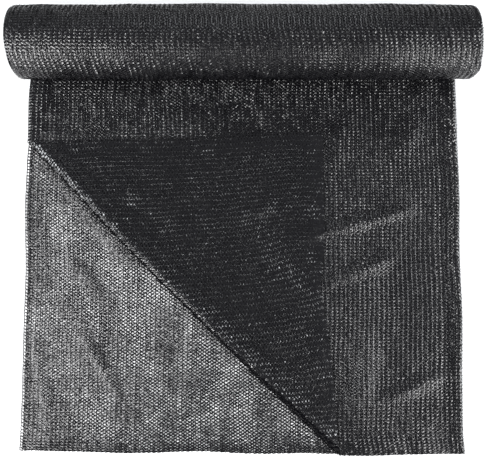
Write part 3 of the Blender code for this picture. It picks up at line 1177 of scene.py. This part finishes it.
@dataclass(frozen=True)
class YarnFinish:
    """Black polyethylene tape: near-black, dull to glossy from strip to strip, finely lined."""

    name: str
    deep: Triple = (0.0016, 0.0016, 0.0025)
    pale: Triple = (0.0070, 0.0069, 0.0086)
    dust: Triple = (0.0300, 0.0298, 0.0310)
    tint_share: float = 0.55
    line_share: float = 0.25
    patch_share: float = 0.35
    shade_floor: float = 0.10
    dust_share: float = 0.35
    dust_from: float = 0.62
    dust_full: float = 0.80
    smooth: float = 0.13
    rough: float = 0.34
    dull_share: float = 0.6
    shine: float = 0.80
    patch_scale: float = 26.0
    speck_scale: float = 900.0
    line_scale: Triple = (9.0, 0.9, 1.0)
    line_depth: float = 0.25
    wrinkle_scale: Triple = (2.6, 1.9, 1.0)
    wrinkle_depth: float = 0.35
    wrinkle_apart: float = 37.0
    stitch_depth: float = 0.0
    stitch_along: float = 4.33
    stitch_across: float = 5.0
    turn_depth: float = 2.8
    turn_run: float = 3.42
    relief_strength: float = 0.55
    relief_height: float = 0.0004

    def build(self) -> bpy.types.Material:
        """Makes the material.

        The strip's own tint and a slow unevenness mix the deep and pale blacks and set
        the roughness. Fine lines run along each strip, from noise squeezed across it, and
        soft wrinkles lie across it, from coarser noise. A rib also has the slanting bumps
        of its stitches, a sine of the distance along it plus its distance from the middle.
        A tape tilts one way at its start and the other way at its end, by the distance from
        its middle times a cosine of the distance along it.

        Returns:
            The material.
        """
        graph = Graph(self.name)
        tint = graph.node("ShaderNodeAttribute", {"attribute_name": "tint"}, out="Fac")
        tape_map = graph.node("ShaderNodeUVMap", {"uv_map": "tape"})
        place = graph.node("ShaderNodeTexCoord", out="Object")
        lines_at = graph.vector("MULTIPLY", tape_map, self.line_scale)
        lines = graph.noise(lines_at, 1.0, detail=2.0, dims="2D")
        patches = graph.noise(place, self.patch_scale, detail=3.0)
        specks = graph.noise(place, self.speck_scale, detail=1.0)
        shade = tint * self.tint_share + lines * self.line_share + patches * self.patch_share
        shade = shade - self.shade_floor
        body = graph.mix(shade, self.deep, self.pale)
        stops = ((self.dust_from, 0.0), (self.dust_full, 1.0))
        dusty = graph.node("ShaderNodeValToRGB", {"stops": stops}, {"Fac": specks})
        dull = 1 - tint
        dullness = dull * dull * self.dull_share + patches * (1 - self.dull_share)
        roughness = self.smooth + (self.rough - self.smooth) * dullness
        wrinkles_at = graph.vector("MULTIPLY", tape_map, self.wrinkle_scale)
        wrinkles = graph.noise(wrinkles_at, 1.0, detail=1.0, dims="4D", W=tint * self.wrinkle_apart)
        relief = lines * self.line_depth + wrinkles * self.wrinkle_depth
        across = graph.node("ShaderNodeSeparateXYZ", None, {0: tape_map})
        along = graph.node("ShaderNodeSeparateXYZ", None, {0: tape_map}, out="Y")
        if self.stitch_depth:
            slant = along * self.stitch_along + across.distance(0.5) * self.stitch_across
            relief = relief + slant.sine() * self.stitch_depth
        if self.turn_depth:
            tilt = (along * (math.pi / self.turn_run) + math.pi / 2).sine()
            relief = relief + tilt * (across - 0.5) * self.turn_depth
        bump = {"Strength": self.relief_strength, "Distance": self.relief_height, "Height": relief}
        return graph.finished({
            "Base Color": graph.mix(dusty * self.dust_share, body, self.dust),
            "Roughness": roughness,
            "Normal": graph.node("ShaderNodeBump", None, bump),
            "Specular IOR Level": self.shine,
        })


# ---------------------------------------------------------------- the cloth's pieces


@dataclass
class ClothPieces:
    """Builds every piece of the cloth, dresses it and hands it to the frame."""

    lie: Lie
    rib_yarn: bpy.types.Material
    tape_yarn: bpy.types.Material
    corner_yarn: bpy.types.Material
    fold_shade_yarn: bpy.types.Material
    knit: Knit = field(default_factory=Knit)
    loose_slack: float = 1.0
    corner_slack: float = 0.60
    roll_slack: float = 0.90
    roll_rib_slack: float = 0.30
    corner_rib_slack: float = 0.80
    roll_width: float = 1.28
    side_bend: float = 1.6
    diagonal_bend: tuple[float, float] = (-0.009, 0.021)

    @property
    def loose_rows(self) -> tuple[int, int]:
        """The rows of the loose end, from the cut end to the roll's line."""
        return 0, int(self.lie.loose.length / self.knit.half_course)

    @property
    def roll_rows(self) -> tuple[int, int]:
        """The rows of the roll's outermost turn."""
        end = self.lie.loose.length + self.lie.roll.turn_length
        return self.loose_rows[1], int(end / self.knit.half_course)

    @property
    def corner_side(self) -> float:
        """Either side of the corner that is turned back."""
        return self.lie.loose.diagonal_sum + self.lie.loose.folded_width / 2

    def strips(self, block: Block) -> list[Strips]:
        """Ribs, tape legs and ladder of a block, the legs finer where the cloth bends.

        It bends in the few gaps at the side fold, and in a band along the diagonal one.

        Args:
            block: the block of the knit.

        Returns:
            The strips of the ribs, the plain legs, the bent legs and the rungs.
        """
        knit, loose = self.knit, self.lie.loose
        rng = np.random.default_rng(block.seed)
        gaps = np.arange(knit.middle, knit.gaps - 1) if block.upper else np.arange(1, knit.middle)
        rows = np.arange(*block.rows)
        gap, row = (a.reshape(-1) for a in np.meshgrid(gaps, rows, indexing="ij"))
        v = (row + 0.5) * knit.half_course
        past = loose.past_fold(knit.ladder_end + (gap - 0.5) * knit.pitch, v)
        low, high = self.diagonal_bend
        near_diagonal = (past > low) & (past < high) & (v < loose.length)
        bent = (np.abs(gap - (knit.gaps / 2 - 0.5)) < self.side_bend) | near_diagonal
        return [
            knit.ribs(block),
            knit.legs(block, gap[~bent], row[~bent], False, rng),
            knit.legs(block, gap[bent], row[bent], True, rng),
            knit.rungs(block, rng),
        ]

    def dress(self, piece: bpy.types.Object, turned: bool = False) -> bpy.types.Object:
        """Gives a knit piece its yarns, with calmer tapes on the turned-back corner.

        Args:
            piece: a piece as built.
            turned: whether it is the turned-back corner.

        Returns:
            The piece.
        """
        tape_yarn = self.corner_yarn if turned else self.tape_yarn
        # the last yarn is the one with painted shade, for the band along the diagonal fold
        for yarn in (self.rib_yarn, tape_yarn, self.fold_shade_yarn):
            piece.data.materials.append(yarn)
        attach(piece, "root")
        return piece

    def knitted(
        self, name: str, block: Block, keep: Callable[[Array, Array], Array] | None = None,
        turned: bool = False,
    ) -> bpy.types.Object:  # fmt: skip
        """Knits a block, lays what keep(u, v) tells of it, or all, and dresses the piece."""
        return self.dress(Piece(name, self.lie, self.strips(block)).build(keep), turned)

    def lower_layer(self) -> bpy.types.Object:
        """The loose end's lower layer, which shows alone where the corner is turned back.

        Returns:
            The piece.
        """
        block = Block(
            upper=False, rows=self.loose_rows, side=1, seed=101,
            tape_slack=self.loose_slack, rib_slack=self.loose_slack,
        )  # fmt: skip
        piece = self.knitted("lower_layer", block)
        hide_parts("loose_end")
        return piece

    def upper_layer(self) -> bpy.types.Object:
        """The loose end's upper layer as far as the diagonal fold.

        Returns:
            The piece.
        """
        loose = self.lie.loose
        block = Block(
            upper=True, rows=self.loose_rows, side=-1, seed=102,
            tape_slack=self.loose_slack, rib_slack=self.loose_slack,
        )  # fmt: skip
        piece = self.knitted("upper_layer", block, lambda u, v: loose.past_fold(u, v) < 0)
        return piece

    def turned_corner(self) -> bpy.types.Object:
        """The upper layer's corner, turned back over it along the diagonal fold.

        Returns:
            The piece.
        """
        loose, side = self.lie.loose, self.corner_side
        block = Block(
            upper=True, rows=self.loose_rows, side=1, seed=103,
            tape_slack=self.corner_slack, rib_slack=self.corner_rib_slack,
        )  # fmt: skip
        piece = self.knitted("turned_corner", block, lambda u, v: loose.past_fold(u, v) >= 0, turned=True)
        return piece

    def roll_layer(self, name: str, upper: bool) -> bpy.types.Object:
        """One layer of the roll's outermost turn; the cloth's lower half is the outer one.

        Args:
            name: name of the piece.
            upper: whether it is the cloth's upper half, the second layer.

        Returns:
            The piece.
        """
        side, seed = (1, 105) if upper else (-1, 104)
        slacks = (self.roll_slack, self.roll_rib_slack)
        block = Block(upper, self.roll_rows, side, seed, *slacks, wider=self.roll_width)
        piece = self.knitted(name, block)
        return piece

    def roll_layers(self) -> list[bpy.types.Object]:
        """Both layers of the roll's outermost turn, the outer one in the place of the solid.

        Returns:
            The pieces.
        """
        outer = self.roll_layer("roll_outer_layer", upper=False)
        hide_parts("roll")
        return [outer, self.roll_layer("roll_second_layer", upper=True)]


class EndEdge(Enum):
    """The edges of the inner turns at each end, by the side of the roll."""

    SELVEDGES = -1
    FOLDS = 1


@dataclass
class RollInside:
    """What shows of the turns under the outermost one: the body and the edges at each end."""

    roll: Roll
    depth: float = 0.0034
    end_inset: float = 0.013
    inner_pitch: float = 0.001785
    eye: float = 0.006
    eye_depth: float = 0.060
    eye_point: float = 0.15
    steps: int = 96
    stations: int = 25
    floor_gap: float = 0.0048
    map_unit: float = 0.002
    body_tint: float = 0.4
    edge_steps: int = 56
    edge_gap: float = 0.0012
    edge_floor: float = 0.0042
    edge_packing: float = 0.9
    edge_map_radius: float = 0.03
    inner_inset: float = 0.004
    rim_inset: float = 0.0008
    turn_hop: float = 0.0007
    rim_hop: float = 0.3
    rim_turns: float = 3.0
    slow_wander: tuple[float, float] = (0.0011, 0.13)
    turn_wander: tuple[float, float] = (0.0006, 1.0)
    seed: int = 71
    fold_profile: Table = (
        (-0.0160, 0.00072), (-0.0014, 0.00074), (0.0000, 0.00000), (-0.0014, -0.00074),
        (-0.0160, -0.00072),
    )  # fmt: skip
    selvedge_profile: Table = ((-0.0160, 0.00040), (0.0000, 0.00000), (-0.0160, -0.00040))
    fold_lanes: tuple[float, ...] = (0.0,)
    selvedge_lanes: tuple[float, ...] = (0.00046, -0.00046)

    def wound(self, x: Array, reach: Array, angle: Array, low: Array | float) -> Array:
        """Points at a distance and an angle round the roll's axis, kept off the floor.

        Args:
            x: place along the roll.
            reach: distance from the axis.
            angle: how far round the roll, from the floor up its back.
            low: the least height.

        Returns:
            The points, one more axis than the arguments.
        """
        centre = self.roll.radius - self.roll.sink
        y = self.roll.line_y + reach * np.sin(angle)
        z = np.maximum(centre - reach * np.cos(angle), low)
        return np.stack(np.broadcast_arrays(x, y, z), axis=-1)

    def body(self) -> bpy.types.Object:
        """The wound turns as one closed form, a lofted round section with a deep eye.

        Each ring of the profile is a pair of place along the roll and radius; it is
        turned round the roll's axis, flattened to stay off the floor.

        Returns:
            The object.
        """
        half = self.roll.left_half[-1][1] - self.end_inset
        outer = self.roll.radius - self.depth
        stations = np.linspace(-half, half, self.stations)
        x = np.concatenate([[-half + self.eye_depth, -half + self.eye_depth, -half], stations])
        x = np.concatenate([x, [half, half - self.eye_depth, half - self.eye_depth]])
        swell = outer + along_table(self.roll.swells, stations)
        tip = self.eye * self.eye_point
        radius = np.concatenate([[tip, self.eye, self.eye], swell, [self.eye, self.eye, tip]])
        angle = np.linspace(0, 2 * math.pi, self.steps, endpoint=False)
        spiral = 1 - (self.roll.turn_pitch / self.roll.radius) * angle / (2 * math.pi)
        points = self.wound(x[:, None], radius[:, None] * spiral, angle, self.floor_gap)
        number = np.arange(radius.size * angle.size).reshape(radius.size, angle.size)
        quads = grid_quads(np.concatenate([number, number[:, :1]], axis=1))
        around = np.broadcast_to(angle * self.roll.radius / self.map_unit, number.shape)
        flat_map = np.stack([points[..., 0] / self.map_unit, around], axis=-1).reshape(-1, 2)
        return mesh_object("roll_body", points.reshape(-1, 3), quads, flat_map, self.body_tint)

    def edges(self, kind: EndEdge, name: str) -> bpy.types.Object:
        """The edges of the inner turns at one end, wound in a spiral down to the eye.

        The section is carried round the axis while its radius falls by one inner pitch a
        turn. It wanders along the axis by a slow sum of sines and by a little more from
        turn to turn, and at the outermost turns it follows the rim above it.

        Args:
            kind: which end, and so which section: round folds, or pairs of thin selvedges.
            name: name of the object.

        Returns:
            The object.
        """
        side, folds = kind.value, kind is EndEdge.FOLDS
        offsets, thick = np.array(self.fold_profile if folds else self.selvedge_profile).T
        outside = self.roll.radius - self.roll.turn_pitch - self.edge_gap
        turns = (outside - self.eye - self.edge_gap) / self.inner_pitch
        angle = np.linspace(0, turns * 2 * math.pi, int(turns * self.edge_steps) + 1)
        turn = angle / (2 * math.pi)
        follow = smoothstep((self.rim_turns - turn) / 2)
        outer = self.roll.half_at(np.mod(angle, 2 * math.pi), side) - self.rim_inset
        inner = self.roll.left_half[2][1] - self.inner_inset
        low = (self.edge_floor + self.edge_packing * self.inner_pitch * turn)[:, None] - thick
        rng = np.random.default_rng(self.seed + side)
        points, quads, maps, tints = [], [], [], []
        for lane in self.fold_lanes if folds else self.selvedge_lanes:
            knots = rng.normal(0, self.turn_hop, int(turns) + 3)
            hop = np.interp(turn, np.arange(len(knots)), knots)
            size, rate = self.slow_wander
            slow = size * np.sin(angle * rate + rng.uniform(0, 6))
            size, start = self.turn_wander
            slow = slow + size * np.sin(angle + start)
            rim = follow * outer + (1 - follow) * (inner + slow) + hop * (1 - (1 - self.rim_hop) * follow)
            x = side * (rim[:, None] + offsets)
            reach = (outside - self.inner_pitch * turn + lane)[:, None] + thick
            number = np.arange(x.size).reshape(x.shape) + len(points) * x.size
            lane_quads = grid_quads(number, turned=True)
            points.append(self.wound(x, reach, angle[:, None], low).reshape(-1, 3))
            quads.append(lane_quads if side > 0 else lane_quads[:, ::-1])
            across = np.broadcast_to(np.linspace(0, 1, len(offsets)), x.shape)
            along = np.broadcast_to((angle * self.edge_map_radius / self.map_unit)[:, None], x.shape)
            maps.append(np.stack([across, along], axis=-1).reshape(-1, 2))
            tints.append(np.repeat(rng.uniform(0, 1, len(angle)), len(offsets)))
        return mesh_object(name, *(np.concatenate(part) for part in (points, quads, maps, tints)))


# ---------------------------------------------------------------- floor, light and camera


@dataclass(frozen=True)
class Lamp:
    """A rectangular soft lamp: where it hangs, the point it faces, its size, watts and tone."""

    name: str
    place: Triple
    aim: Triple
    size: tuple[float, float]
    power: float
    tone: Triple

    def hang(self) -> bpy.types.Object:
        """Makes the lamp where it hangs, and turns it to the point it faces.

        Returns:
            The lamp.
        """
        data = bpy.data.lights.new(self.name, "AREA")
        data.shape = "RECTANGLE"
        data.size, data.size_y = self.size
        data.energy = self.power
        data.color = self.tone
        made = bpy.data.objects.new(self.name, data)
        made.location = self.place
        turn = (Vector(self.aim) - Vector(self.place)).to_track_quat("-Z", "Y")
        made.rotation_euler = turn.to_euler()
        bpy.context.scene.collection.objects.link(made)
        return made


@dataclass
class Studio:
    """A floor with a painted pool of light, white round the cloth and fading to grey, under broad soft
    lamps, seen from above the loose end.
    """

    camera_place: Triple = (0.0, -0.0914, 1.2219)
    camera_elevation: float = 85.4506
    lens: float = 51.46
    sensor: float = 36.0
    floor_size: float = 14.0
    floor_lines: int = 9
    paint_scale: float = 3.0
    white: tuple[Triple, Triple] = ((0.94, 0.94, 0.94), (0.97, 0.97, 0.97))
    # the far floor's pale grey is painted shade round the painted pool of light near the cloth
    painted_far_shade: Triple = (0.42, 0.42, 0.42)
    white_half: Triple = (0.43, 0.385, 0.0)
    white_fade: float = 0.24
    room: float = 0.15
    lamps: tuple[Lamp, ...] = (
        Lamp("front_left", (-2.1, -2.1, 2.8), (-0.1, 0.0, 0.0), (1.3, 0.8), 66.0, LAMPLIGHT),
        Lamp("front_right", (2.0, -2.1, 2.8), (0.1, 0.0, 0.0), (1.5, 0.8), 36.0, LAMPLIGHT),
        Lamp("low_left", (-2.2, -3.1, 1.9), (0.0, 0.0, 0.0), (1.6, 1.0), 84.0, LAMPLIGHT),
        Lamp("low_right", (2.2, -3.1, 1.9), (0.0, 0.0, 0.0), (1.6, 1.0), 80.0, LAMPLIGHT),
        Lamp("side_left", (-3.2, 0.3, 2.0), (0.0, 0.1, 0.0), (1.6, 1.6), 122.0, DAYLIGHT),
        Lamp("side_right", (3.2, 0.3, 2.0), (0.0, 0.1, 0.0), (1.6, 1.6), 122.0, DAYLIGHT),
        Lamp("back", (0.0, 2.9, 2.4), (0.0, 0.3, 0.0), (2.2, 0.8), 20.0, DAYLIGHT),
    )

    def floor_light_pool(self) -> bpy.types.Material:
        """A painted pool of light: white near the cloth, fading to a pale grey further away as painted
        shade for a dimmer room.

        The fade is eased over the distance from a white box round the cloth, the length
        of what the place's absolute coordinates have past the half sizes of the box.

        Returns:
            The material.
        """
        graph = Graph("floor_light_pool")
        place = graph.node("ShaderNodeTexCoord", out="Object")
        near = graph.mix(graph.noise(place, self.paint_scale, detail=2.0), *self.white)
        past = graph.vector("SUBTRACT", graph.vector("ABSOLUTE", place), self.white_half)
        away = graph.vector("LENGTH", graph.vector("MAXIMUM", past, (0, 0, 0)), out="Value")
        eased = {"interpolation_type": "SMOOTHSTEP"}
        reach = graph.node("ShaderNodeMapRange", eased, {"Value": away, "From Max": self.white_fade})
        colour = graph.mix(reach, near, self.painted_far_shade)
        return graph.finished({"Base Color": colour, "Roughness": 0.8, "Specular IOR Level": 0.2})

    def floor(self) -> bpy.types.Object:
        """The floor: a level grid of points round the origin, painted.

        Returns:
            The floor.
        """
        steps = np.linspace(-self.floor_size / 2, self.floor_size / 2, self.floor_lines)
        x, y = np.meshgrid(steps, steps, indexing="ij")
        points = np.stack([x, y, np.zeros_like(x)], axis=-1).reshape(-1, 3)
        quads = grid_quads(np.arange(x.size).reshape(x.shape), turned=True)
        made = mesh_object("floor", points, quads, points[:, :2], 0.0)
        made.data.materials.append(self.floor_light_pool())
        return made

    def light(self) -> None:
        """The studio's soft light: lamps at both sides and a pale room round them."""
        for lamp in self.lamps:
            lamp.hang()
        world = bpy.data.worlds.new("studio")
        world.use_nodes = True
        background = world.node_tree.nodes["Background"]
        background.inputs["Color"].default_value = (1.0, 1.0, 1.0, 1.0)
        background.inputs["Strength"].default_value = self.room
        bpy.context.scene.world = world

    def camera(self) -> bpy.types.Object:
        """The camera, almost straight above the loose end, tipped a little to the roll.

        Returns:
            The camera.
        """
        data = bpy.data.cameras.new("camera")
        data.lens = self.lens
        data.sensor_width = self.sensor
        data.clip_start = 0.02
        made = bpy.data.objects.new("camera", data)
        made.location = self.camera_place
        made.rotation_euler = (math.radians(90 - self.camera_elevation), 0.0, 0.0)
        bpy.context.scene.collection.objects.link(made)
        bpy.context.scene.camera = made
        return made


def triangles(piece: bpy.types.Object) -> int:
    """How many triangles a piece has."""
    return 2 * len(piece.data.polygons)


def main() -> None:
    """Builds the studio and the cloth round its solids, and logs each piece's triangles."""
    logging.basicConfig(level=logging.INFO, format="%(name)s: %(message)s")
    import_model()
    studio = Studio()
    studio.camera()
    studio.floor()
    studio.light()
    bpy.context.scene.view_settings.view_transform = "Standard"
    loose = LooseEnd()
    roll = Roll(loose)
    cloth = ClothPieces(
        Lie(loose, roll),
        rib_yarn=YarnFinish("rib_yarn", stitch_depth=0.3, turn_depth=0.0).build(),
        tape_yarn=YarnFinish("tape_yarn").build(),
        corner_yarn=YarnFinish("corner_yarn", turn_depth=1.05).build(),
        # the band along the diagonal fold: yarn painted darker and almost without shine, as painted shade
        fold_shade_yarn=YarnFinish("fold_shade_yarn", pale=(0.0030, 0.0029, 0.0036), shine=0.05).build(),
    )
    made = [cloth.lower_layer(), cloth.upper_layer(), cloth.turned_corner(), *cloth.roll_layers()]
    inside = RollInside(roll)
    ends = [
        inside.body(),
        inside.edges(EndEdge.FOLDS, "roll_fold_turns"),
        inside.edges(EndEdge.SELVEDGES, "roll_selvedge_turns"),
    ]
    made += [cloth.dress(end) for end in ends]
    for piece in made:
        log.info("%s: %d triangles", piece.name, triangles(piece))


if __name__ == "__main__":
    main()
